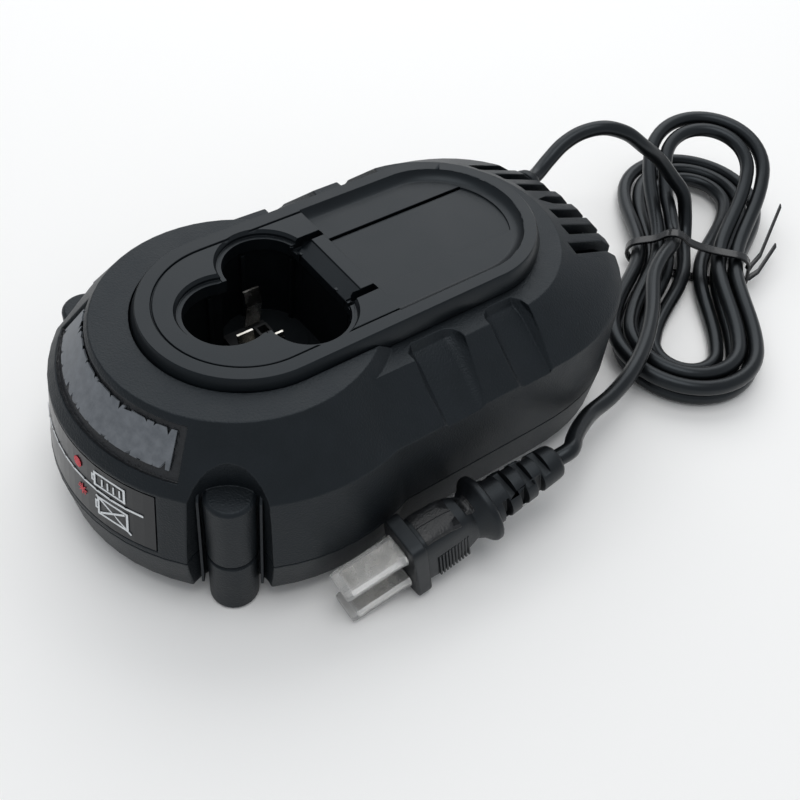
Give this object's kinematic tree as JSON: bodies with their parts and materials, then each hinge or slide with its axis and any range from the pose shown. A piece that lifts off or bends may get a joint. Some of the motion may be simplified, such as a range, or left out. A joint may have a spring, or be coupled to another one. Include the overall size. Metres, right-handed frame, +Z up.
{
  "type": "power tool battery charger",
  "caption": "Oval drop-in charger for a stick battery: three-lobed socket, long deck with tray, rear vents, round corner columns, tied mains cord with a flat two-blade plug.",
  "frame": {"origin": "bottom centre of the case's box, on the surface it stands on", "axes": "+Z up, nose with the socket towards -Y, vents and cord exit towards +Y, long axis along Y"},
  "size_m": [0.1346, 0.3033, 0.0645],
  "materials": {
    "case": "fine matt moulded black",
    "deck": "satin black",
    "rubber": "matt black",
    "badge": "satin dark grey",
    "label": "smooth black",
    "steel": "plain",
    "copper": "bright copper",
    "board": "green laminate",
    "core": "laminated iron",
    "sleeve": "clear soft plastic",
    "plug": "satin moulded black"
  },
  "bodies": {
    "charger": {"lower_case": "case", "upper_case": "case", "battery_deck": "deck", "socket_well": "case", "terminal_block": "case", "badge_plate": "badge", "indicator_label": "label", "circuit_board": "board", "transformer_core": "core", "transformer_coil": "copper", "heat_sink": "steel", "power_transistor": "deck", "relay": "deck", "fuse_holder": "deck", "capacitor_large": "deck", "capacitor_small": "deck", "cord_guard": "rubber", "cord_to_hank": "rubber", "cord_hank": "rubber", "cord_to_plug": "rubber", "cord_tie": "rubber", "plug_body": "plug", "plug_blade_upper": "steel", "plug_blade_lower": "steel", "case_screw_1": "steel", "rubber_foot_1": "rubber", "case_screw_2": "steel", "rubber_foot_2": "rubber", "case_screw_3": "steel", "rubber_foot_3": "rubber", "case_screw_4": "steel", "rubber_foot_4": "rubber"},
    "sleeve_upper": {"blade_sleeve_upper": "sleeve"},
    "sleeve_lower": {"blade_sleeve_lower": "sleeve"},
    "contact_left_leaf": {"contact_left": "copper"},
    "contact_middle_leaf": {"contact_middle": "copper"},
    "contact_front_leaf": {"contact_front": "copper"}
  },
  "joints": [
    {"name": "sleeve_upper_pull", "type": "slide", "parent": "charger", "child": "sleeve_upper", "axis": [-0.0428, -0.9797, -0.1959], "range_m": [0, 0.02]},
    {"name": "sleeve_lower_pull", "type": "slide", "parent": "charger", "child": "sleeve_lower", "axis": [-0.0428, -0.9797, -0.1959], "range_m": [0, 0.02]},
    {"name": "contact_left_flex", "type": "hinge", "parent": "charger", "child": "contact_left_leaf", "pos_m": [-0.0168, -0.02325, 0.0359], "axis": [0, 1, 0], "range_deg": [-3, 3], "stiffness_Nm_per_rad": 0.02},
    {"name": "contact_middle_flex", "type": "hinge", "parent": "charger", "child": "contact_middle_leaf", "pos_m": [0.0045, -0.02825, 0.0359], "axis": [0, 1, 0], "range_deg": [-3, 3], "stiffness_Nm_per_rad": 0.02},
    {"name": "contact_front_flex", "type": "hinge", "parent": "charger", "child": "contact_front_leaf", "pos_m": [-0.004, -0.03305, 0.0359], "axis": [0, 1, 0], "range_deg": [-3, 3], "stiffness_Nm_per_rad": 0.02}
  ]
}
